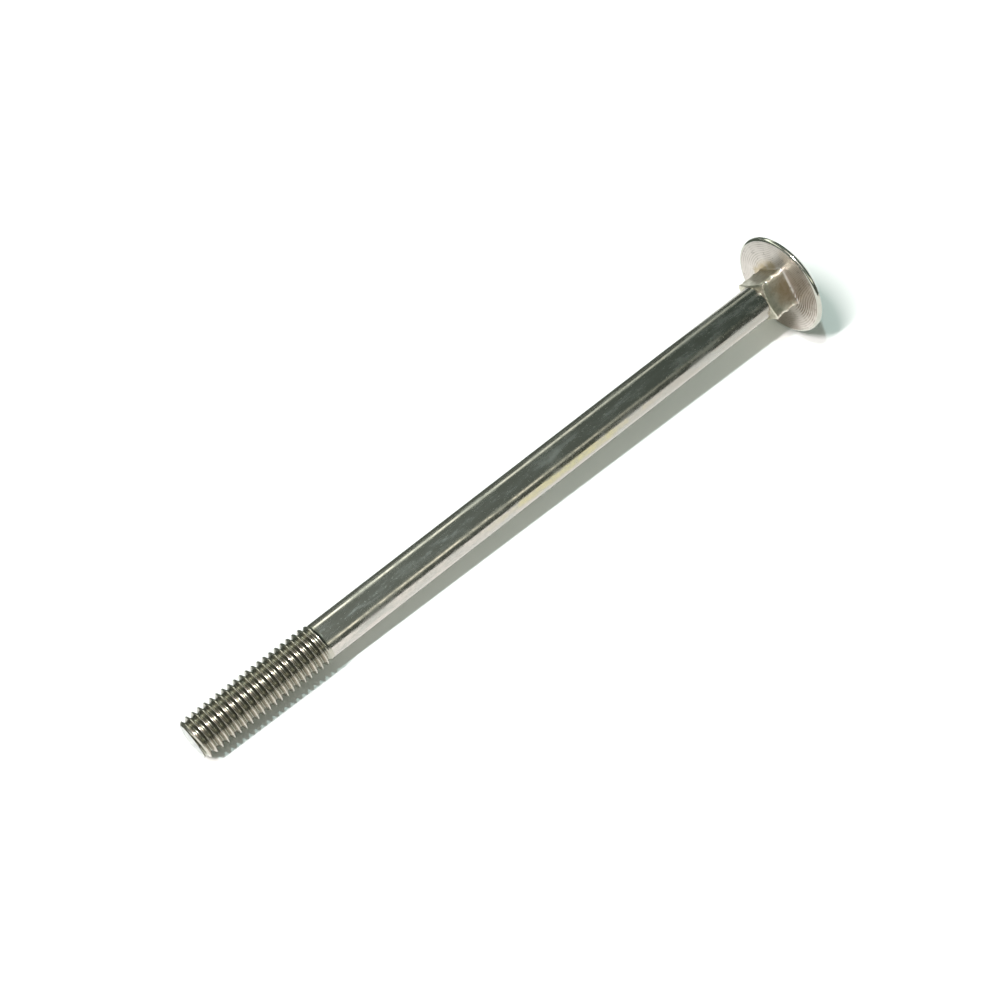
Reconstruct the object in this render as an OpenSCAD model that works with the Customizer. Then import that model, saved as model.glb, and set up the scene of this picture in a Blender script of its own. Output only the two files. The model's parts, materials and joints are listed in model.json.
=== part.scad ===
// Carriage bolt, M8 x 140: cup head, square neck, reduced shank and a rolled thread.
// It is one cold-forged piece. It lies on a flat surface, where the rim of its head and
// the first full crest of its thread touch. +X runs from the point to the head, +Z is up,
// and the origin is below the middle of the bolt, on the surface.

/* [Bolt] */
// Length from the end of the point to the underside of the head
bolt_len = 140; // [90:1:200]

/* [Thread] */
// Major diameter of the thread
thread_d = 8; // [7:0.1:9]
// Axial distance from one crest to the next
pitch = 1.25; // [0.75:0.05:1.75]
// Length of the thread, from the end of the point to the plain shank
thread_len = 28; // [12:1:60]
// Length over which the thread fades out into the shank
runout_len = 2; // [1:0.1:4]
// Diameter of the end face of the point
point_d = 6.8; // [5:0.1:7.4]
// Height of the slight dome of the end face
point_dome = 0.4; // [0.2:0.05:0.8]
// Angle between the chamfer of the point and the axis
point_angle = 45; // [30:1:60]
// Distance from the end of the point to the first crest, on the side that the bolt lies on
first_crest = 1.6; // [1.1:0.05:3]

/* [Neck] */
// Width of the square neck across its flats
neck_flats = 7.6; // [7.4:0.1:9]
// Width of the square neck across its rounded corners
neck_corner_d = 10; // [9.4:0.1:12]
// Length of the neck, up to the underside of the head
neck_len = 6; // [3:0.1:8]
// Axial length of the sloping shoulder at the start of the neck
neck_lead = 0.4; // [0.3:0.1:2]
// How far the lowest corner of the neck is turned from straight down, about the bolt's axis
neck_roll = 1; // [-45:1:45]

/* [Head] */
// Diameter of the head
head_d = 21; // [16:0.1:26]
// Height of the head, from its underside to the top of its dome
head_h = 4.6; // [3.5:0.1:7]
// Thickness of the head at its rim
rim_h = 0.7; // [0.6:0.05:1.5]
// Radius of the rounded lower edge of the rim
rim_round = 0.5; // [0.1:0.05:0.55]

/* [Hidden] */
$fn = 96;

// A 60 degree thread: flat crest, straight flanks and a narrow flat root.
flank_angle = 30;
crest_flat = pitch / 8;
thread_depth = 0.6134 * pitch;
flank_w = thread_depth * tan(flank_angle);
thread_r = thread_d / 2;
root_r = thread_r - thread_depth;
// The shank keeps the blank's diameter, from which the thread was rolled up and down.
shank_r = thread_r - 0.3248 * pitch;

// The helix has this many straight steps in a turn. One of them points straight down.
turn_steps = 24;
// Corners of one pitch of the profile, as [axial offset, radius], from the middle of the crest.
thread_profile = [
    [-crest_flat / 2, thread_r],
    [crest_flat / 2, thread_r],
    [crest_flat / 2 + flank_w, root_r],
    [pitch - crest_flat / 2 - flank_w, root_r]
];
profile_n = len(thread_profile);
// Radius of the plain end of the screw body: its flats touch the shank from outside.
plain_r = shank_r / cos(180 / turn_steps);
turns_before = ceil(first_crest / pitch) + 1;
turns_after = ceil((thread_len - first_crest) / pitch) + 1;
last_step = (turns_before + turns_after) * turn_steps;

// Play between the screw body and what is inside or around it, where they must not coincide.
screw_play = 0.2;

head_r = head_d / 2;
dome_h = head_h - rim_h;
dome_r = (head_r * head_r + dome_h * dome_h) / (2 * dome_h);
point_r = point_d / 2;
cap_r = (point_r * point_r + point_dome * point_dome) / (2 * point_dome);
cap_angle = asin(point_r / cap_r);
// Number of straight steps from the middle of the dome of the end face to its edge.
cap_steps = 5;

// The bolt touches the surface at the tip side of the first crest that the chamfer leaves
// whole, and at the rounded edge of the rim. Its axis rises towards the head by this angle.
chamfer_end = point_dome + (thread_r - point_r) / tan(point_angle);
cut_crests = max(0, ceil((chamfer_end - first_crest + crest_flat / 2) / pitch));
crest_z = first_crest - crest_flat / 2 + cut_crests * pitch;
rim_z = bolt_len + rim_round;
rest_run = rim_z - crest_z;
rest_rise = head_r - rim_round - thread_r;
tilt = atan(rest_rise / rest_run) + asin(rim_round / norm([rest_run, rest_rise]));
tip_height = thread_r * cos(tilt) - crest_z * sin(tilt);
// Ends of the lying bolt along X, measured from the middle of its end face.
low_x = cap_r * (cos(tilt) - 1);
high_x = (bolt_len + head_h - dome_r) * cos(tilt) + dome_r;

steel = [0.66, 0.65, 0.60];

// How much of the thread is left at a height: all of it, then less and less over the run-out.
function thread_share(z) = min(1, max(0, (thread_len - z) / runout_len));

// Corner k of the profile after m steps along the helix.
function screw_point(m, k) =
    let (
        z = first_crest + (m / turn_steps - turns_before) * pitch + thread_profile[k][0],
        r = plain_r + (thread_profile[k][1] - plain_r) * thread_share(z),
        angle = 360 * m / turn_steps
    )
    [r * cos(angle), r * sin(angle), z];

// Number of corner k in the list of points. Corner profile_n is corner 0, one turn on.
function screw_index(m, k) =
    k < profile_n ? m * profile_n + k : (m + turn_steps) * profile_n + k - profile_n;

// The body of the screw: one helical surface, closed by a fan to the axis at each end.
// It is longer than the thread at both ends, and is trimmed by what it is crossed with.
module screw_body() {
    first_free = last_step - turn_steps;
    points = [for (m = [0:last_step], k = [0:profile_n - 1]) screw_point(m, k)];
    low_centre = len(points);
    high_centre = low_centre + 1;
    centres = [[0, 0, points[0].z], [0, 0, points[last_step * profile_n].z]];
    sides = [
        for (m = [0:first_free - 1], k = [0:profile_n - 1]) each [
            [screw_index(m, k), screw_index(m, k + 1), screw_index(m + 1, k)],
            [screw_index(m + 1, k), screw_index(m, k + 1), screw_index(m + 1, k + 1)]
        ]
    ];
    low_turn = [for (m = [0:turn_steps - 1]) [low_centre, screw_index(m, 0), screw_index(m + 1, 0)]];
    low_step = [for (k = [0:profile_n - 1]) [low_centre, screw_index(0, k + 1), screw_index(0, k)]];
    high_turn = [
        for (m = [first_free:last_step - 1]) [high_centre, screw_index(m + 1, 0), screw_index(m, 0)]
    ];
    high_step = [
        for (k = [0:profile_n - 1])
            [high_centre, screw_index(first_free, k), screw_index(first_free, k + 1)]
    ];
    polyhedron(concat(points, centres), concat(sides, low_turn, low_step, high_turn, high_step));
}

// The space that the thread fills: domed end face, chamfer, and room for the crests.
module thread_space() {
    room_r = thread_r + screw_play;
    room_z = point_dome + (room_r - point_r) / tan(point_angle);
    dome = [
        for (i = [0:cap_steps])
            let (angle = cap_angle * i / cap_steps)
            [cap_r * sin(angle), cap_r * (1 - cos(angle))]
    ];
    rotate_extrude()
        polygon(concat(dome, [[room_r, room_z], [room_r, thread_len], [0, thread_len]]));
}

module thread() {
    intersection() {
        thread_space();
        screw_body();
    }
}

// The plain shank. Inside the run-out it narrows, so that the roots stay clear of it.
module shank() {
    translate([0, 0, thread_len - runout_len])
        cylinder(h = runout_len, r1 = root_r - screw_play, r2 = shank_r);
    translate([0, 0, thread_len])
        cylinder(h = bolt_len - thread_len, r = shank_r);
}

// The square neck: a square bar whose corners are rounded and whose first stretch slopes up
// from the shank to the corners.
module neck() {
    corner_r = neck_corner_d / 2;
    translate([0, 0, bolt_len - neck_len])
        intersection() {
            rotate([0, 0, 45 + neck_roll])
                translate([-neck_flats / 2, -neck_flats / 2, 0])
                    cube([neck_flats, neck_flats, neck_len + rim_h]);
            union() {
                cylinder(h = neck_lead, r1 = shank_r, r2 = corner_r);
                translate([0, 0, neck_lead])
                    cylinder(h = neck_len + rim_h - neck_lead, r = corner_r);
            }
        }
}

// The cup head: a spherical dome over a thin rim whose lower edge is rounded.
module head() {
    translate([0, 0, bolt_len]) {
        rotate_extrude() {
            square([head_r - rim_round, rim_h]);
            translate([0, rim_round])
                square([head_r, rim_h - rim_round]);
            translate([head_r - rim_round, rim_round])
                circle(r = rim_round);
        }
        intersection() {
            translate([0, 0, head_h - dome_r])
                sphere(r = dome_r);
            translate([0, 0, rim_h])
                cylinder(h = head_h, r = head_r);
        }
    }
}

// The bolt along its own axis, with the end of its point at the origin.
module upright_bolt() {
    thread();
    shank();
    neck();
    head();
}

module carriage_bolt() {
    color(steel)
        translate([-(low_x + high_x) / 2, 0, tip_height])
            rotate([0, 90 - tilt, 0])
                upright_bolt();
}

carriage_bolt();
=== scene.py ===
# %% [markdown]
# # A long carriage bolt in plated steel
#
# The bolt is one cold-forged piece: a cup head, a square neck, a plain shank and a rolled
# thread. It lies on a white table and is seen from above, over its threaded end. The packed
# model gives every size and place, so this lesson starts by loading it.

# %% The frame
import json
import math

import bpy
import numpy as np
from mathutils import Matrix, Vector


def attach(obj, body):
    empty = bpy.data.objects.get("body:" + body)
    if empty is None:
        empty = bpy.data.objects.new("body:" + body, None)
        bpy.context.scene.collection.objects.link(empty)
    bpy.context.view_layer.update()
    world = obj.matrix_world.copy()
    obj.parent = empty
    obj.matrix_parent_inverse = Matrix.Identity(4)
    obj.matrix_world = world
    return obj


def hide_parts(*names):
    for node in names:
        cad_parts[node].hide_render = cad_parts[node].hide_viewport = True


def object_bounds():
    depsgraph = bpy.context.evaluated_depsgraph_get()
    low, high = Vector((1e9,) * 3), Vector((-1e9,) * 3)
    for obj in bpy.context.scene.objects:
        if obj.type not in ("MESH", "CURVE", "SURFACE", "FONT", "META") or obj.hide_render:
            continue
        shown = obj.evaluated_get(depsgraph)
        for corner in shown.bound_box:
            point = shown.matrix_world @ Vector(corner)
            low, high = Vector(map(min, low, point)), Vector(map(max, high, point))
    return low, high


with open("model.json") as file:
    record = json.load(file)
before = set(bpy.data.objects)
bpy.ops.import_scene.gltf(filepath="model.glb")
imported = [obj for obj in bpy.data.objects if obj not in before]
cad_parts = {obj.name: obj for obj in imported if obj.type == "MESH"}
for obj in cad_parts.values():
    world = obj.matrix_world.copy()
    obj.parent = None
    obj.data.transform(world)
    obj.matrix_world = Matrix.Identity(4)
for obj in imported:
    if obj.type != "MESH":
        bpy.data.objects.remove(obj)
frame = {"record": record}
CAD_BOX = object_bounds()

print("CAD box in mm:", [[round(v * 1000, 2) for v in corner] for corner in CAD_BOX])

# %% [markdown]
# ## Where the bolt lies
#
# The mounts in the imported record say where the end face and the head's underside are, and
# which way the axis points. Every later point is given by a distance along the axis, a
# distance from it and an angle around it. The angle starts straight down and turns to the
# far side of the table, +Y.

# %% Sizes and axes taken from the record
MM = 0.001
mounts = {m["name"]: m for m in frame["record"]["mounts"]}
TIP = np.array(mounts["thread"]["pos_m"])
ALONG = -np.array(mounts["thread"]["axis"])
ALONG /= np.linalg.norm(ALONG)
SIDE = np.array([0.0, 1.0, 0.0])
DOWN = np.cross(SIDE, ALONG)

THREAD_R = mounts["thread"]["dims"]["r_mm"] * MM
THREAD_LEN = mounts["thread"]["dims"]["length_mm"] * MM
BOLT_LEN = float((np.array(mounts["bearing_face"]["pos_m"]) - TIP) @ ALONG)
HEAD_R = (CAD_BOX[1][1] - CAD_BOX[0][1]) / 2


def on_bolt(along, radius, angle):
    """Points of the table's frame: the tip, plus along times the axis, plus radius times the
    direction at that angle around the axis. The three arrays have one shape."""
    around = np.cos(angle)[..., None] * DOWN + np.sin(angle)[..., None] * SIDE
    return TIP + along[..., None] * ALONG + radius[..., None] * around


print("length under the head %.2f mm, head radius %.2f mm" % (BOLT_LEN / MM, HEAD_R / MM))
print("the axis rises %.2f degrees" % math.degrees(math.asin(ALONG[2])))

# %% [markdown]
# ## The angles of the grid
#
# The whole skin of the bolt is one grid: each row is a ring around the axis. The rings are
# round nearly everywhere, but on the neck they are squares with rounded corners. A finer
# grid all round would be wasteful, so the columns crowd together where the corners are, and
# every ring uses the same columns.

# %% Columns
COLUMNS = 120
CORNERS = 4
NECK_ROLL = math.radians(1)
CROWDING = 0.16


def column_angles():
    """Evenly spaced values u, shifted by a sine of 4u, so that steps are short near the four
    corners of the neck and longer between them. All turn with the neck."""
    u = np.arange(COLUMNS) * 2 * math.pi / COLUMNS
    return u - CROWDING * np.sin(CORNERS * u) + NECK_ROLL


ANGLES = column_angles()
print("columns:", COLUMNS, "narrowest step %.2f degrees" % math.degrees(np.diff(ANGLES).min()))

# %% [markdown]
# ## The sizes of the thread
#
# An M8 thread climbs 1.25 mm in a turn. It was rolled between dies, which press the roots in
# and squeeze the crests up, so the shank keeps the blank's radius, midway between the two.
# The end face is a slight dome with a chamfer around it.

# %% Thread sizes
PITCH = 1.25 * MM
FIRST_CREST = 1.6 * MM
RUNOUT = 2.0 * MM
# A metric thread: the crest's flat is an eighth of the pitch, and the flanks lean 30 degrees.
CREST_HALF = PITCH / 16
DEPTH = 0.6134 * PITCH
FLANK_SLOPE = 1 / math.tan(math.radians(30))
SHANK_R = THREAD_R - 0.3248 * PITCH
# The end face, its dome and the chamfer around it.
POINT_R = 3.4 * MM
POINT_DOME = 0.4 * MM
POINT_ANGLE = math.radians(45)
CAP_R = (POINT_R ** 2 + POINT_DOME ** 2) / (2 * POINT_DOME)
END_ROWS = 9
# Widths over which the crests, the roots and the chamfer's edge are rounded.
CREST_SOFT = 0.11 * MM
ROOT_SOFT = 0.24 * MM
CHAMFER_SOFT = 0.08 * MM

print("thread depth %.3f mm, shank radius %.3f mm" % (DEPTH / MM, SHANK_R / MM))

# %% [markdown]
# ## The shape of the thread
#
# The dies leave crests and roots softly rounded, which is what catches a row of small
# highlights along the thread. A profile could be swept along a helix, but then its ends
# would have to be cut. Here the radius is a function of the place within one pitch, and
# that place depends on the distance along the bolt and on the angle. Such a height field
# needs short rows, but it makes crests, run-out and chamfer with one formula.


# %% Thread profile
def soft_max(a, b, width):
    """The larger of a and b, with a parabola of that width where they cross."""
    h = np.clip(0.5 + 0.5 * (a - b) / width, 0, 1)
    return a * h + b * (1 - h) + width * h * (1 - h)


def soft_min(a, b, width):
    """The smaller of a and b, rounded in the same way."""
    return -soft_max(-a, -b, width)


def thread_radius(along, angle):
    """Major radius less a depth. The depth is zero on the crest, grows by the flank's slope
    away from it and is capped at the root. The crest is a helix: it moves up by one pitch a
    turn. Towards the shank the depth and the height above the shank fade out together."""
    turns = (along - FIRST_CREST) / PITCH - angle / (2 * math.pi)
    from_crest = np.abs(turns - np.round(turns)) * PITCH
    flank = (from_crest - CREST_HALF) * FLANK_SLOPE
    depth = soft_min(soft_max(flank, 0.0, CREST_SOFT), DEPTH, ROOT_SOFT)
    share = np.clip((THREAD_LEN - along) / RUNOUT, 0, 1)
    share = share * share * (3 - 2 * share)
    threaded = SHANK_R + (THREAD_R - depth - SHANK_R) * share
    chamfer = POINT_R + (along - POINT_DOME) * math.tan(POINT_ANGLE)
    return soft_min(threaded, chamfer, CHAMFER_SOFT)


def end_rows():
    """Rings on the dome of the end face: a sphere, from just off its middle to its edge."""
    turn = math.asin(POINT_R / CAP_R) * np.linspace(0, 1, END_ROWS + 1)[1:]
    return CAP_R * (1 - np.cos(turn)), CAP_R * np.sin(turn)


print("radius where the run-out starts: %.2f to %.2f mm" % tuple(
    pick(thread_radius(THREAD_LEN - RUNOUT, ANGLES)) / MM for pick in (np.min, np.max)
))

# %% [markdown]
# ## The square neck
#
# The square stops the bolt from turning in wood. It is forged in a die, so its corners are
# round, it starts with a short slope up from the shank, and a little metal squeezed between
# the dies stays as a ragged ridge on the corners, with a lip where each ridge starts. The
# ridges could be a bump in the finish, but they show at the edge of the neck, so they are
# part of the shape.

# %% Neck sizes
NECK_LEN = 6.0 * MM
NECK_HALF = 3.8 * MM
NECK_CORNER_R = 5.0 * MM
NECK_LEAD = 0.4 * MM
NECK_START = BOLT_LEN - NECK_LEN
# Widths over which the neck's corners and the top of its slope are rounded.
CORNER_SOFT = 0.25 * MM
LEAD_SOFT = 0.12 * MM
# The ridge: its height and the angle that it covers, and how far it wanders, in waves.
FLASH_H = 0.2 * MM
FLASH_WIDTH = math.radians(5)
FLASH_WANDER = math.radians(4.5)
WANDER_RATE = 2.6
WANDER_PHASE = 2.3
# Waves along the ridge: share of its height, radians per millimetre, times the phase.
RIDGE_MEAN = 0.45
RIDGE_WAVES = ((0.45, 2.9, 1), (0.18, 7.1, 2))
# A finer wave without a phase, and the share of its height that the ridge always keeps.
RIDGE_GRAIN = (0.1, 15.0)
RIDGE_LOWEST = 0.1
# The ridge's spread, in its own widths, where it is lowest, and what its height adds.
RIDGE_SPREAD = (0.7, 0.9)
CORNER_PHASE = 1.7
LIP_H = 0.12 * MM
LIP_LEN = 0.45 * MM

print("neck: %.1f mm square, starts at %.1f mm" % (2 * NECK_HALF / MM, NECK_START / MM))


# %% Neck section
def flash_height(along, from_corner, corner):
    """A ragged ridge: a narrow bell across the corner, times a sum of waves along it with
    another phase on each corner, plus a bell-shaped lip at the start of the ridge. The
    ridge is wider where it is higher, and wanders to either side of its corner."""
    x = (along - NECK_START) / MM
    phase = CORNER_PHASE * corner
    wander = FLASH_WANDER * np.sin(WANDER_RATE * x + WANDER_PHASE * phase)
    waves = sum((h * np.sin(rate * x + k * phase) for h, rate, k in RIDGE_WAVES), RIDGE_MEAN)
    spread = FLASH_WIDTH * (RIDGE_SPREAD[0] + RIDGE_SPREAD[1] * np.clip(waves, 0, 1))
    bell = np.exp(-((from_corner - wander) / spread) ** 2)
    grain_height, grain_rate = RIDGE_GRAIN
    height = np.clip(waves + grain_height * np.sin(grain_rate * x), RIDGE_LOWEST, 1)
    ridge = FLASH_H * bell * height
    lip_along = (x * MM - LIP_LEN) / LIP_LEN
    lip = LIP_H * np.exp(-lip_along ** 2 - (from_corner / (2 * FLASH_WIDTH)) ** 2)
    return ridge + lip


def neck_radius(along, angle):
    """Half the width across the flats, divided by the cosine of the angle from the nearest
    flat, with the corner circle and the sloping shoulder as upper bounds."""
    quarter = 2 * math.pi / CORNERS
    turn = angle - NECK_ROLL
    corner = np.round(turn / quarter)
    from_corner = turn - corner * quarter
    flat = NECK_HALF / np.cos(quarter / 2 - np.abs(from_corner))
    ramp = SHANK_R + (along - NECK_START) * (NECK_CORNER_R - SHANK_R) / NECK_LEAD
    square = soft_min(flat, np.full_like(flat, NECK_CORNER_R), CORNER_SOFT)
    section = soft_min(square, ramp, LEAD_SOFT)
    held = np.clip((along - NECK_START) / NECK_LEAD, 0, 1)
    return section + held * flash_height(along, from_corner, np.mod(corner, CORNERS))


half_way = neck_radius(np.full(COLUMNS, NECK_START + NECK_LEN / 2), ANGLES)
print("neck radius from %.2f to %.2f mm" % (half_way.min() / MM, half_way.max() / MM))

# %% [markdown]
# ## The cup head
#
# The underside is flat and carries fine rings from the die. The rim is thin with a rounded
# lower edge, and the top is a shallow sphere. The head's profile is followed outwards from
# the neck, around the rim and over the dome to the middle. The rings are both in the shape,
# where they catch the light, and in the finish, where dirt lies in them.

# %% Head sizes
HEAD_H = 4.6 * MM
RIM_H = 0.7 * MM
RIM_ROUND = 0.5 * MM
DOME_H = HEAD_H - RIM_H
DOME_R = (HEAD_R ** 2 + DOME_H ** 2) / (2 * DOME_H)
ROOT_FILLET = 0.35 * MM
RING_PITCH = 0.46 * MM
RING_DEPTH = 0.014 * MM
# The rings fade out over a twelfth of the flat's width at both of its edges.
RING_FADE = 12
UNDERSIDE_ROWS = 97
RIM_ROWS = 11
BAND_ROWS = 3
DOME_ROWS = 30

print("radius of the dome %.2f mm" % (DOME_R / MM))


# %% Head profile
def underside_rows(inner):
    """Rings from the neck's section out to the rim: the radius runs from the section to the
    rim's edge, and the surface is flat but for small waves of one ring pitch."""
    outer = HEAD_R - RIM_ROUND
    share = np.linspace(0, 1, UNDERSIDE_ROWS)[:, None]
    radius = inner[None, :] + (outer - inner[None, :]) * share
    calm = np.clip((1 - share) * RING_FADE, 0, 1) * np.clip(share * RING_FADE, 0, 1)
    waves = RING_DEPTH * np.cos(2 * math.pi * radius / RING_PITCH) * calm
    return BOLT_LEN - waves / 2, radius


def rim_rows():
    """A quarter circle at the lower edge and the narrow band of the rim."""
    turn = np.linspace(0, math.pi / 2, RIM_ROWS + 1)[1:]
    low_along = RIM_ROUND - RIM_ROUND * np.cos(turn)
    low_radius = HEAD_R - RIM_ROUND + RIM_ROUND * np.sin(turn)
    band_along = np.linspace(RIM_ROUND, RIM_H, BAND_ROWS + 1)[1:]
    band_radius = np.full(BAND_ROWS, HEAD_R)
    rows_along = np.concatenate([low_along, band_along])
    return BOLT_LEN + rows_along, np.concatenate([low_radius, band_radius])


def dome_rows():
    """Rings on a sphere, from the rim's angle to just before the middle of the dome."""
    edge = math.asin(HEAD_R / DOME_R)
    turn = edge * (1 - np.linspace(0, 1, DOME_ROWS + 2)[1:-1])
    return BOLT_LEN + HEAD_H - DOME_R + DOME_R * np.cos(turn), DOME_R * np.sin(turn)


print("rows of the head:", UNDERSIDE_ROWS + len(rim_rows()[0]) + len(dome_rows()[0]))

# %% [markdown]
# ## Rows of one skin
#
# All rows are stacked from the middle of the end face to the middle of the dome. Separate
# pieces would show seams where the real bolt has none, so it is one skin. The rows are
# sorted into zones, because each stretch of the real bolt was finished in its own way.

# %% Rows of the whole skin
THREAD_STEP = 0.05 * MM
SHANK_ROWS = 24
NECK_ROWS = 64
FILLET_ROWS = 6
ZONES = ["end_face", "thread", "shank", "neck", "underside", "dome"]


def full(value):
    """One value for every column."""
    return np.full(COLUMNS, value)


def stack_rows():
    """Returns (along, radius, zone): two arrays of rows by columns and one zone number for
    each row. A face belongs to the zone of its second row."""
    along, radius, zone = [], [], []

    def add(zone_name, rows_along, rows_radius):
        for a, r in zip(rows_along, rows_radius):
            along.append(full(a) if np.ndim(a) == 0 else a)
            radius.append(full(r) if np.ndim(r) == 0 else r)
            zone.append(ZONES.index(zone_name))

    add("end_face", *end_rows())
    threaded = np.arange(POINT_DOME + THREAD_STEP, THREAD_LEN, THREAD_STEP)
    add("thread", threaded, thread_radius(threaded[:, None], ANGLES[None, :]))
    plain = np.linspace(THREAD_LEN, NECK_START, SHANK_ROWS + 1)[1:]
    add("shank", plain, np.full(SHANK_ROWS, SHANK_R))
    shares = np.linspace(0, 1, NECK_ROWS + 1)[1:]
    necked = NECK_START + (NECK_LEN - ROOT_FILLET) * shares
    sections = neck_radius(necked[:, None], ANGLES[None, :])
    add("neck", necked, sections)
    turn = np.linspace(0, math.pi / 2, FILLET_ROWS + 1)[1:]
    fillet = sections[-1][None, :] + ROOT_FILLET * (1 - np.cos(turn))[:, None]
    add("underside", BOLT_LEN - ROOT_FILLET + ROOT_FILLET * np.sin(turn), fillet)
    add("underside", *underside_rows(fillet[-1]))
    add("dome", *rim_rows())
    add("dome", *dome_rows())
    return np.array(along), np.array(radius), np.array(zone)


along, radius, zone = stack_rows()
print("rows:", len(along), "faces:", (len(along) - 1) * COLUMNS)

# %% [markdown]
# ## The mesh
#
# Neighbour rows give four-sided faces, and a fan closes the grid at each end, so the mesh is
# one closed shell with its faces pointing outwards. Shading is smooth but for real edges.
# The mesh also carries each point's place on the bolt in millimetres, because the finishes
# follow the bolt, which lies at a slope, and not the table.

# %% Mesh from the grid
SHARP_ANGLE = math.radians(38)


def skin_faces(rows):
    """Corner numbers of all faces. A column's number is counted round, so that the skin has
    no seam. The two middle points come after the grid's own points."""
    row = np.arange(rows - 1)[:, None] * COLUMNS
    here = np.arange(COLUMNS)[None, :]
    there = (here + 1) % COLUMNS
    quads = np.stack([row + here, row + there, row + COLUMNS + there, row + COLUMNS + here], -1)
    tip, top = rows * COLUMNS, rows * COLUMNS + 1
    first, last = np.arange(COLUMNS), (rows - 1) * COLUMNS + np.arange(COLUMNS)
    tip_fan = np.stack([full(tip), np.roll(first, -1), first], -1)
    top_fan = np.stack([full(top), last, np.roll(last, -1)], -1)
    return quads.reshape(-1, 4).tolist() + tip_fan.tolist() + top_fan.tolist()


def skin_mesh(name, along, radius, zone):
    """A mesh from rows of points around the axis, with one middle point for each end. The
    attribute bolt_place holds the distances along the axis, to the far side and up, in
    millimetres."""
    points = on_bolt(along, radius, np.broadcast_to(ANGLES, along.shape)).reshape(-1, 3)
    ends = on_bolt(np.array([0.0, BOLT_LEN + HEAD_H]), np.zeros(2), np.zeros(2))
    points = np.concatenate([points, ends])
    mesh = bpy.data.meshes.new(name)
    mesh.from_pydata(points.tolist(), [], skin_faces(len(along)))
    zones = np.concatenate([np.repeat(zone[1:], COLUMNS), full(zone[0]), full(zone[-1])])
    mesh.polygons.foreach_set("material_index", zones.astype(np.int32))
    mesh.polygons.foreach_set("use_smooth", np.ones(len(mesh.polygons), bool))
    mesh.set_sharp_from_angle(angle=SHARP_ANGLE)
    place = (points - TIP) @ np.stack([ALONG, SIDE, -DOWN], -1) / MM
    attribute = mesh.attributes.new("bolt_place", "FLOAT_VECTOR", "POINT")
    attribute.data.foreach_set("vector", place.ravel())
    mesh.update()
    return mesh


skin = skin_mesh("bolt_skin", along, radius, zone)
bolt = bpy.data.objects.new("bolt_skin", skin)
bpy.context.scene.collection.objects.link(bolt)
print("triangles:", sum(len(p.vertices) - 2 for p in skin.polygons))

# %% [markdown]
# ## Helpers for materials
#
# Colours are written as the hex values that a paint program shows, and one function turns
# them to the linear values that the renderer needs. Another adds one shader node with its
# settings and links.


# %% Colour and node helpers
def hex_colour(code):
    """sRGB hex to linear RGB and alpha: divide by 255, then undo the sRGB curve."""
    channels = [int(code[i:i + 2], 16) / 255 for i in (0, 2, 4)]
    linear = [c / 12.92 if c <= 0.04045 else ((c + 0.055) / 1.055) ** 2.4 for c in channels]
    return (*linear, 1.0)


def add_node(tree, kind, settings=None, **inputs):
    """Adds a node. Settings are its own properties. Each input is a value or another node's
    output socket. It is named by its socket, with spaces as underscores, or by _ and the
    socket's number."""
    node = tree.nodes.new(kind)
    for key, value in (settings or {}).items():
        setattr(node, key, value)
    for key, value in inputs.items():
        by_number = key[1:].isdigit()
        socket = node.inputs[int(key[1:]) if by_number else key.replace("_", " ")]
        if isinstance(value, bpy.types.NodeSocket):
            tree.links.new(value, socket)
        else:
            socket.default_value = value
    return node


def new_material(name):
    """An empty material with nodes, its tree and its output node."""
    material = bpy.data.materials.new(name)
    material.use_nodes = True
    material.node_tree.nodes.clear()
    output = material.node_tree.nodes.new("ShaderNodeOutputMaterial")
    return material, material.node_tree, output


print("half grey in linear light: %.3f" % hex_colour("808080")[0])

# %% [markdown]
# ## Masks
#
# A finish is a clean metal with layers of wear, film and dirt over it. Where each layer lies
# is a mask from 0 to 1. There are three kinds: clouds of noise, a single patch at a known
# place, and a ramp of some distance. Sizes are real millimetres, because the mesh carries
# its places in millimetres.

# %% Ramps, products and distances
def ramp(tree, value, low, high):
    """A straight ramp of a value, from 0 at low to 1 at high."""
    return add_node(
        tree, "ShaderNodeMapRange", Value=value, From_Min=low, From_Max=high
    ).outputs["Result"]


def times(tree, one, other):
    """One mask inside another: their product."""
    return add_node(
        tree, "ShaderNodeMath", {"operation": "MULTIPLY"}, _0=one, _1=other
    ).outputs["Value"]


def length(tree, vector):
    """The length of a vector: the root of the sum of its squares."""
    return add_node(
        tree, "ShaderNodeVectorMath", {"operation": "LENGTH"}, _0=vector
    ).outputs["Value"]


def parts(tree, place):
    """The three numbers of a place: along, to the far side and up."""
    return add_node(tree, "ShaderNodeSeparateXYZ", Vector=place).outputs


def from_axis(tree, place):
    """The distance from the axis in millimetres: the length of the side and up parts."""
    flat = add_node(
        tree, "ShaderNodeVectorMath", {"operation": "MULTIPLY"}, _0=place, _1=(0.0, 1.0, 1.0)
    )
    return length(tree, flat.outputs["Vector"])


print("mask helpers:", [f.__name__ for f in (ramp, times, length, parts, from_axis)])

# %% Clouds and patches
NOISE_DETAIL = 3.0
# A patch's edge: how much the noise shifts it, and where the soft cut starts and ends, in
# half sizes of the patch. The noise is about a half on average.
RAGGED = 1.2
PATCH_OUTSIDE = 1.7
PATCH_INSIDE = 0.9


def clouds(tree, place, size, low, high):
    """Noise whose lumps have the given size along, across and up, cut between two levels."""
    scaled = add_node(tree, "ShaderNodeMapping", Vector=place, Scale=[1 / s for s in size])
    noise = add_node(
        tree, "ShaderNodeTexNoise",
        Vector=scaled.outputs["Vector"], Scale=1.0, Detail=NOISE_DETAIL, Roughness=0.6,
    )
    return ramp(tree, noise.outputs["Fac"], low, high)


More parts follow.
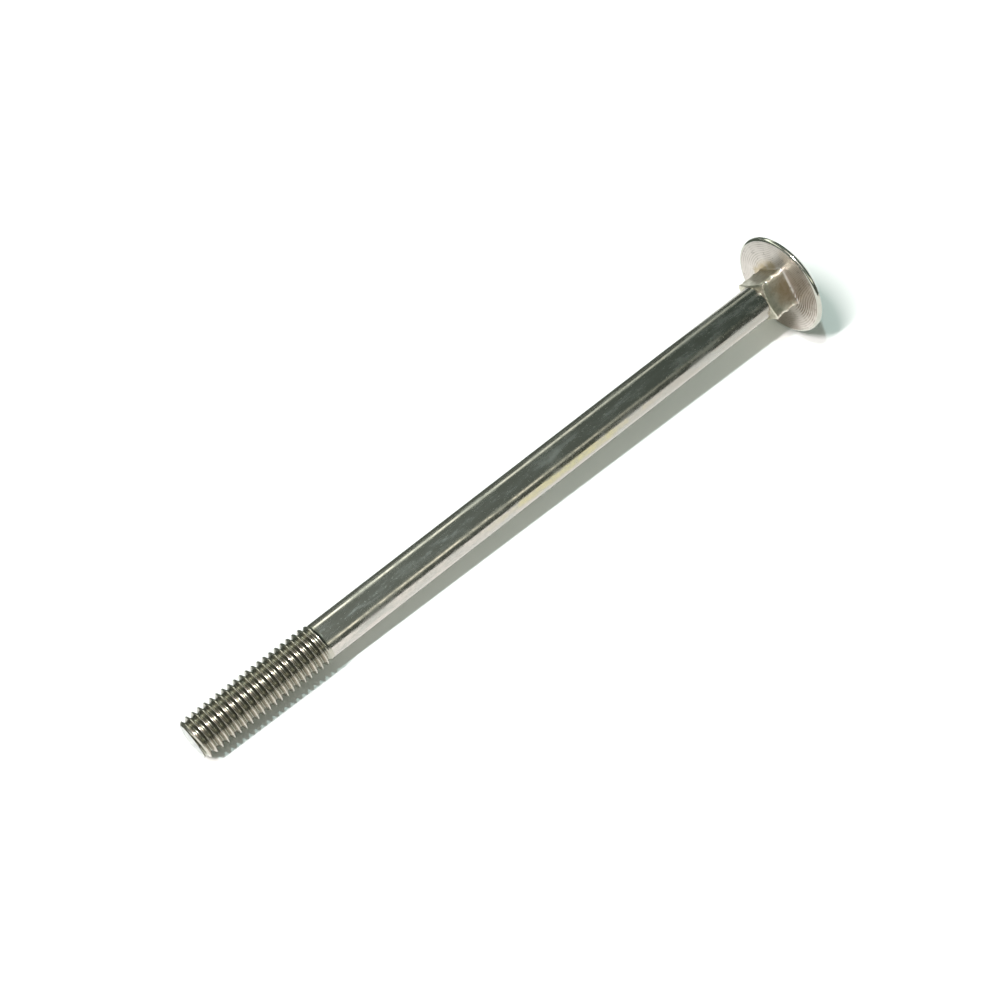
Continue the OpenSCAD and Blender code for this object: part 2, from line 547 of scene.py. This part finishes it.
def patch(tree, place, centre, size, grain):
    """An ellipsoid with a ragged, soft edge. The distance from its centre, in half sizes, is
    shifted by noise of the given grain before the soft cut."""
    moved = add_node(
        tree, "ShaderNodeMapping", Vector=place,
        Location=[-c / s for c, s in zip(centre, size)], Scale=[1 / s for s in size],
    )
    away = length(tree, moved.outputs["Vector"])
    noise = add_node(
        tree, "ShaderNodeTexNoise", Vector=place, Scale=1 / grain, Detail=NOISE_DETAIL
    )
    ragged = add_node(
        tree, "ShaderNodeMath", {"operation": "MULTIPLY_ADD"},
        _0=noise.outputs["Fac"], _1=RAGGED, _2=away,
    )
    mask = add_node(
        tree, "ShaderNodeMapRange", {"interpolation_type": "SMOOTHSTEP"},
        Value=ragged.outputs["Value"], From_Min=PATCH_OUTSIDE, From_Max=PATCH_INSIDE,
    )
    return mask.outputs["Result"]


print("a patch is half strong at %.1f of its size" % ((PATCH_OUTSIDE + PATCH_INSIDE - RAGGED) / 2))

# %% [markdown]
# ## Plated steel
#
# The bolt is steel with a thin bright plating. The picture doesn't tell which metal that
# is: zinc is the usual one. Either way it is full metallic, with the default IOR, a
# slightly warm grey, and a roughness from 0.1 where it is polished to 0.4 where it is
# dull. So its look comes mostly from what it mirrors. One function makes every finish: it
# starts with the clean tone and lays each layer over it by its mask, changing colour and
# roughness together. A fine grain of noise gives the bump. The real grain is
# too fine for the picture, far under a tenth of a millimetre, and is drawn much coarser,
# with lumps of 0.3 to 1 mm, so that it shows.

# %% Finish function
BUMP_HEIGHT = 0.02 * MM


def plated_steel(name, tone, roughness, layers, grain, bump):
    """Layers is a function that takes the tree and the place and returns a list of (mask,
    strength, tone, roughness). Grain is the size of the bump's lumps in millimetres."""
    material, tree, output = new_material(name)
    place = add_node(
        tree, "ShaderNodeAttribute", {"attribute_name": "bolt_place"}
    ).outputs["Vector"]
    colour, rough = hex_colour(tone), roughness
    for mask, strength, layer_tone, layer_roughness in layers(tree, place):
        share = times(tree, mask, strength)
        colour = add_node(
            tree, "ShaderNodeMix", {"data_type": "RGBA"},
            _0=share, _6=colour, _7=hex_colour(layer_tone),
        ).outputs[2]
        rough = add_node(tree, "ShaderNodeMix", _0=share, _2=rough, _3=layer_roughness).outputs[0]
    noise = add_node(
        tree, "ShaderNodeTexNoise", Vector=place, Scale=1 / grain, Detail=NOISE_DETAIL
    )
    relief = add_node(
        tree, "ShaderNodeBump", Height=noise.outputs["Fac"], Strength=bump, Distance=BUMP_HEIGHT
    )
    shader = add_node(
        tree, "ShaderNodeBsdfPrincipled", Base_Color=colour, Metallic=1.0,
        Roughness=rough, Normal=relief.outputs["Normal"],
    )
    tree.links.new(shader.outputs["BSDF"], output.inputs["Surface"])
    print(name, "has", len(tree.nodes), "nodes")
    return material


finishes = {}
print("bump height: %.2f mm" % (BUMP_HEIGHT / MM))

# %% [markdown]
# ## Shank
#
# The wire was drawn through a die, so the shank is nearly a mirror. Streaks of haze and fine
# specks, perhaps from handling, scatter the lamps' light. The shank is drawn a little darker
# towards the head. It has a yellow film on the near side, and two places are duller, as if
# held there. Haze is mostly a higher roughness and hardly another colour.


# %% Shank finish
def shank_layers(tree, place):
    """Along the bolt, haze lies in streaks 6 mm long. Specks are about half a millimetre."""
    towards_head = ramp(tree, parts(tree, place)["X"], 20, 150)
    film = patch(tree, place, (82, -3.3, 1.3), (20, 1.6, 1.2), 3.0)
    held_low = patch(tree, place, (46.5, -0.8, 3.4), (3, 2.4, 2.2), 0.5)
    held_high = patch(tree, place, (80.5, -0.6, 3.4), (3, 2.2, 2.0), 0.7)
    streaks = clouds(tree, place, (6, 1.4, 1.4), 0.42, 0.62)
    grains = clouds(tree, place, (0.8, 0.4, 0.4), 0.4, 0.66)
    specks = clouds(tree, place, (0.5, 0.35, 0.35), 0.6, 0.7)
    return [
        (towards_head, 1.0, "a9a199", 0.1),
        (streaks, 0.7, "bcbab6", 0.37),
        (film, 0.5, "cfc278", 0.1),
        (held_low, 0.4, "c8c6c0", 0.4),
        (held_high, 0.45, "c8c6c0", 0.4),
        (grains, 0.5, "aeaaa2", 0.36),
        (specks, 0.5, "cac8bc", 0.45),
    ]


# Drawn and plated: the smoothest stretch, with crisp reflections.
finishes["shank"] = plated_steel("plated_drawn_shank", "d8cdc7", 0.08, shank_layers, 0.4, 0.1)

# %% [markdown]
# ## Thread and end face
#
# The dies rolled the thread, so its crests are burnished and bright. Its roots are painted
# darker, which is painted shade in the hollows of the thread. The end face was sheared from
# the wire and never polished, so it is matt and pale.


# %% Thread and end finishes
def thread_layers(tree, place):
    """Painted shade grows from the flanks down to the roots, darkening the hollows. Dull spots are
    about a pitch wide.
    """
    # painted shade: the thread's roots are drawn darker, as shade in the hollows
    root_shade = ramp(tree, from_axis(tree, place), 3.75, 3.3)
    dull = clouds(tree, place, (1.2, 1.2, 1.2), 0.45, 0.7)
    return [(root_shade, 0.6, "7c7d6e", 0.3), (dull, 0.5, "a3a497", 0.3)]


def end_layers(tree, place):
    """Torn grain left by the shears, in lumps of about a millimetre."""
    return [(clouds(tree, place, (1, 1.2, 1.2), 0.4, 0.7), 1.0, "b9b8bb", 0.45)]


# Rolled and plated: bright crests with small, clear highlights.
finishes["thread"] = plated_steel(
    "plated_rolled_thread", "c8c0b6", 0.2, thread_layers, 0.5, 0.15
)
# Sheared and plated: it scatters the light and looks nearly white.
finishes["end_face"] = plated_steel("plated_sheared_end", "d8d6d4", 0.36, end_layers, 0.4, 0.3)

# %% [markdown]
# ## Neck
#
# The forged flats are duller than the shank. They have olive and brown stains between the
# bright ridges, which rub against everything and stay clean, and a pale patch on the near
# corner that is a painted highlight. The slope at the start of the neck is bright too.


# %% Neck finish
def neck_layers(tree, place):
    """The ridges are told from the flats by their distance from the axis, and the slope by
    its distance along it."""
    olive = clouds(tree, place, (1.1, 0.8, 0.8), 0.42, 0.62)
    brown = patch(tree, place, (138.4, -2.6, 3.0), (3.0, 3.0, 3.0), 1.6)
    # painted highlight: a pale patch on the near corner where light catches it
    pale_painted_highlight = patch(tree, place, (136.9, -4.8, 0.1), (1.4, 0.9, 0.8), 0.8)
    neck_start = NECK_START / MM
    slope = ramp(tree, parts(tree, place)["X"], neck_start + 0.75, neck_start + 0.45)
    ridge = ramp(tree, from_axis(tree, place), 4.7, 5.0)
    return [
        (olive, 0.4, "9a9784", 0.36),
        (brown, 0.6, "998058", 0.4),
        (pale_painted_highlight, 0.9, "efe9dc", 0.5),
        (slope, 0.4, "d6cfbc", 0.3),
        (ridge, 1.0, "e8e1d2", 0.34),
    ]


# Forged and plated: a soft sheen without clear reflections.
finishes["neck"] = plated_steel("plated_forged_neck", "d6d0c2", 0.3, neck_layers, 0.5, 0.5)

# %% [markdown]
# ## Underside of the head
#
# The flat carries fine rings with dirt in them, most of it on the near half, a yellow-brown
# stain beside the neck, a pale worn spot at the rim and a few dark specks. Its lower near
# part is painted darker, which is painted shade. The rings are drawn 0.46 mm apart, about
# as far as they seem to be in the picture.

# %% Rings and stains
FLAT = 140
# Stains beside the neck: place to the far side and up, half sizes, strength.
NECK_STAINS = (
    ((5.5, -0.6), (1.5, 1.7), 0.6),
    ((4.3, 1.6), (1.9, 1.9), 0.7),
    ((2.6, 3.9), (1.9, 1.7), 0.6),
)


def ring_wave(tree, radius):
    """A sine of the distance from the axis, with one turn for each ring."""
    angle = times(tree, radius, 2 * math.pi * MM / RING_PITCH)
    return add_node(tree, "ShaderNodeMath", {"operation": "SINE"}, _0=angle).outputs["Value"]


def underside_layers(tree, place):
    """Dirt in the rings is the ring wave cut by a ramp, inside clouds or a patch."""
    radius = from_axis(tree, place)
    wave = ring_wave(tree, radius)
    outside_neck = times(tree, ramp(tree, wave, -0.3, 0.8), ramp(tree, radius, 5.3, 6.1))
    rings = times(tree, outside_neck, clouds(tree, place, (3, 2.2, 2.2), 0.3, 0.6))
    near = patch(tree, place, (FLAT, -6.6, 2.0), (3, 4.0, 6.0), 1.2)
    near_dirt = times(tree, near, ramp(tree, wave, -0.8, 0.8))
    # painted shade: the lower near part of the underside is drawn darker
    low_painted_shade = patch(tree, place, (FLAT, -3.4, -7.4), (3, 5.4, 4.0), 2.5)
    stains = [
        (patch(tree, place, (FLAT, *centre), (2, *size), 2.0), strength, "b5a074", 0.4)
        for centre, size, strength in NECK_STAINS
    ]
    worn = patch(tree, place, (FLAT, -0.3, 8.8), (2, 2.0, 1.8), 0.4)
    specks = clouds(tree, place, (0.9, 0.7, 0.7), 0.66, 0.72)
    return [
        (rings, 0.5, "94887e", 0.4),
        (near_dirt, 0.85, "80654c", 0.4),
        (low_painted_shade, 0.6, "7b7062", 0.4),
        *stains,
        (worn, 0.45, "f2e4d2", 0.5),
        (specks, 0.7, "5c4a3e", 0.5),
    ]


# Forged flat and plated: dull, and its rings spread the light to both sides.
finishes["underside"] = plated_steel(
    "plated_ringed_underside", "ddd5d0", 0.42, underside_layers, 0.3, 0.5
)

# %% [markdown]
# ## Dome
#
# The polished die left the dome and the rim smooth, with slight unevenness that bends the
# reflections, and faint dull clouds.


# %% Dome finish
def dome_layers(tree, place):
    """Dull clouds of about a millimetre and a half."""
    return [(clouds(tree, place, (1.5, 1.5, 1.5), 0.45, 0.7), 0.4, "a5a49a", 0.24)]


# Die-polished and plated: clear but slightly wavy reflections.
finishes["dome"] = plated_steel("plated_forged_dome", "c9c6bd", 0.12, dome_layers, 1.0, 0.4)

# %% [markdown]
# ## The skin in the model
#
# The faces already have their zone's number, so the finishes only have to be listed in the
# order of the zones. The skin rides on the one body of the model, and it is shown in place
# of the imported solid, which keeps its job in the physics.

# %% The skin's finishes and its body
for zone_name in ZONES:
    skin.materials.append(finishes[zone_name])
print("finishes:", [m.name for m in skin.materials])

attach(bolt, "root")
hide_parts("carriage_bolt")

# %% [markdown]
# ## The table and a grey card
#
# The table is plain white and much wider than the view. Polished metal shows what is around
# it, so the table also brightens the lower side of the shank. A grey card beyond the bolt
# gives the shank the dark far edge that parts it from the white. Its right end runs off at a
# slant, so that the head's underside mirrors the white table. Only reflections see the card,
# as if it were masked out of the picture.

# %% Table and card
TABLE_OUTLINE = [(-3.0, -3.0), (3.0, -3.0), (3.0, 3.0), (-3.0, 3.0)]
CARD_OUTLINE = [(-0.2, 0.009), (0.045, 0.009), (0.6, 0.5), (-0.2, 0.5)]
CARD_HEIGHT = 0.1 * MM


def stage_piece(name, outline, height, material_name, colour):
    """A flat piece of the stage: one face with this outline at one height, in a matt
    material of one colour."""
    mesh = bpy.data.meshes.new(name)
    mesh.from_pydata([(x, y, height) for x, y in outline], [], [tuple(range(len(outline)))])
    material, tree, output = new_material(material_name)
    shader = add_node(tree, "ShaderNodeBsdfDiffuse", Color=hex_colour(colour), Roughness=0.0)
    tree.links.new(shader.outputs["BSDF"], output.inputs["Surface"])
    mesh.materials.append(material)
    piece = bpy.data.objects.new(name, mesh)
    bpy.context.scene.collection.objects.link(piece)
    return piece


table = stage_piece("table", TABLE_OUTLINE, 0.0, "matt_white_paper", "f6f7f5")
card = stage_piece("card", CARD_OUTLINE, CARD_HEIGHT, "matt_grey_card", "5a605a")
card.visible_camera = card.visible_diffuse = card.visible_shadow = False
print("stage:", [(piece.name, [round(v, 2) for v in piece.dimensions]) for piece in (table, card)])

# %% [markdown]
# ## Light
#
# Two lamps hang above the threaded end. The long one gives most of the light and the soft
# shadow beyond the head, and the compact one makes the crisp inner shadow. Both are narrow
# across the bolt, so the shadow of the shank and of the thread keeps a clean edge. The key is
# a little blue-green and shows alone in the paler part of the head's shadow. With the room,
# they light the table to 1.2 times white, so it renders as plain white and not as its own
# slightly darker colour.

# %% Lamps
LAMP_HEIGHT = 1.5


def soft_lamp(name, x, y, along_spread, across_spread, power, colour):
    """A rectangular lamp at the lamps' height that looks at the origin. Its place is in
    metres and its power in watts. Its two sizes are given as the angles, in degrees, that
    it spans along the bolt and across it."""
    place = np.array([x, y, LAMP_HEIGHT])
    away = np.linalg.norm(place)
    back = place / away
    data = bpy.data.lights.new(name, "AREA")
    data.shape = "RECTANGLE"
    data.size = away * math.radians(along_spread)
    data.size_y = away * math.radians(across_spread)
    data.energy = power
    data.color = hex_colour(colour)[:3]
    lamp = bpy.data.objects.new(name, data)
    bpy.context.scene.collection.objects.link(lamp)
    right = np.array([1.0, 0, 0]) - back[0] * back
    right /= np.linalg.norm(right)
    matrix = np.eye(4)
    matrix[:3, 0], matrix[:3, 1], matrix[:3, 2] = right, np.cross(back, right), back
    matrix[:3, 3] = place
    lamp.matrix_world = Matrix(matrix.tolist())
    print("%s: %.1f W, %.0f by %.0f mm" % (name, power, data.size / MM, data.size_y / MM))


soft_lamp("key", -0.389, 0.02, 2, 2, 6.9, "dcfafa")
soft_lamp("fill", -1.02, 0.05, 16, 2.5, 29.0, "fff8fa")

# %% [markdown]
# ## The room
#
# The rest of the room is dim: dimmer towards the head's side, where it ends nearly dark, and
# low on the near side, which keeps the floor dark close under the bolt. Three softboxes hang
# in it. One is low on the far side and a weaker one is on the near side: they draw the thin
# bright lines along the shank. The third is a wide one overhead, towards the point: it
# stretches the highlights on the thread and the rim. Real lamps could do the same, but what
# matters is only where the metal sees them, so all are painted into the world by direction.

# %% Directions and bands
BAND_SOFT = 0.05
ANYWHERE = 2

world = bpy.data.worlds.new("studio")
bpy.context.scene.world = world
world.use_nodes = True
sky = world.node_tree
sky.nodes.clear()
way = add_node(sky, "ShaderNodeTexCoord").outputs["Generated"]
way_x, way_y, way_z = parts(sky, way)


def box_mask(*bands):
    """The product of soft bands. Each band is a value of the direction with two limits."""
    mask = 1.0
    for value, low, high in bands:
        rise = ramp(sky, value, low - BAND_SOFT, low + BAND_SOFT)
        fall = ramp(sky, value, high + BAND_SOFT, high - BAND_SOFT)
        mask = times(sky, mask, times(sky, rise, fall))
    return mask


print("band edges are %.1f wide" % (2 * BAND_SOFT))

# %% World
# Each area: where it is, its colour, and how strong it is against plain white.
far_low = box_mask((way_y, 0.5, ANYWHERE), (way_z, 0.25, 0.46))
areas = (
    # a darker grey towards the point
    (ramp(sky, way_x, 0.1, -0.35), "7f867f", 1.0),
    # the near side, low
    (box_mask((way_y, -ANYWHERE, 0), (way_z, -ANYWHERE, 0.42)), "5b635c", 1.0),
    # beyond the head
    (box_mask((way_x, 0.65, ANYWHERE)), "2a2e2b", 1.0),
    # the far softbox, which fades out towards the head
    (times(sky, far_low, ramp(sky, way_x, 0.6, 0.15)), "f6fff0", 2.6),
    # the near softbox
    (
        box_mask((way_y, -ANYWHERE, -0.5), (way_z, 0.48, 0.6), (way_x, -ANYWHERE, 0.36)),
        "f6fae6", 1.8,
    ),
    # the softbox overhead
    (
        box_mask((way_x, -0.7, -0.35), (way_y, -0.4, 0.4), (way_z, 0, ANYWHERE)),
        "fbf7f4", 1.3,
    ),
)
room = add_node(
    sky, "ShaderNodeMix", {"data_type": "RGBA"},
    _0=ramp(sky, way_x, -0.3, 0.5), _6=hex_colour("a3aea6"), _7=hex_colour("4e5c55"),
).outputs[2]
for mask, colour, strength in areas:
    glow = [c * strength for c in hex_colour(colour)]
    room = add_node(sky, "ShaderNodeMix", {"data_type": "RGBA"}, _0=mask, _6=room, _7=glow).outputs[2]
sky_light = add_node(sky, "ShaderNodeBackground", Color=room, Strength=1.0)
add_node(sky, "ShaderNodeOutputWorld", Surface=sky_light.outputs["Background"])
print("the room has", len(areas), "areas")

# %% [markdown]
# ## Camera
#
# The camera's place was worked out from the crests, the shank's edges and the rim in the
# picture. It looks down at 57 degrees from beyond the point and from the near side, with a
# lens of 63 mm on a 36 mm sensor.

# %% Camera
AIM = np.array([-3.313, 0.321, 7.3]) * MM
AZIMUTH = math.radians(-41.458)
ELEVATION = math.radians(57.195)
DISTANCE = 311.84 * MM
LENS = 62.85
SENSOR = 36.0
NEAREST = 10 * MM

camera_data = bpy.data.cameras.new("camera")
camera_data.sensor_width = SENSOR
camera_data.lens = LENS
camera_data.clip_start = NEAREST
camera = bpy.data.objects.new("camera", camera_data)
bpy.context.scene.collection.objects.link(camera)
back = np.array([
    math.sin(AZIMUTH) * math.cos(ELEVATION),
    -math.cos(AZIMUTH) * math.cos(ELEVATION),
    math.sin(ELEVATION),
])
camera.location = AIM + back * DISTANCE
camera.rotation_euler = (math.pi / 2 - ELEVATION, 0.0, AZIMUTH)
bpy.context.scene.camera = camera
bpy.context.scene.view_settings.view_transform = "Standard"
print("camera at", [round(v / MM) for v in camera.location], "mm")
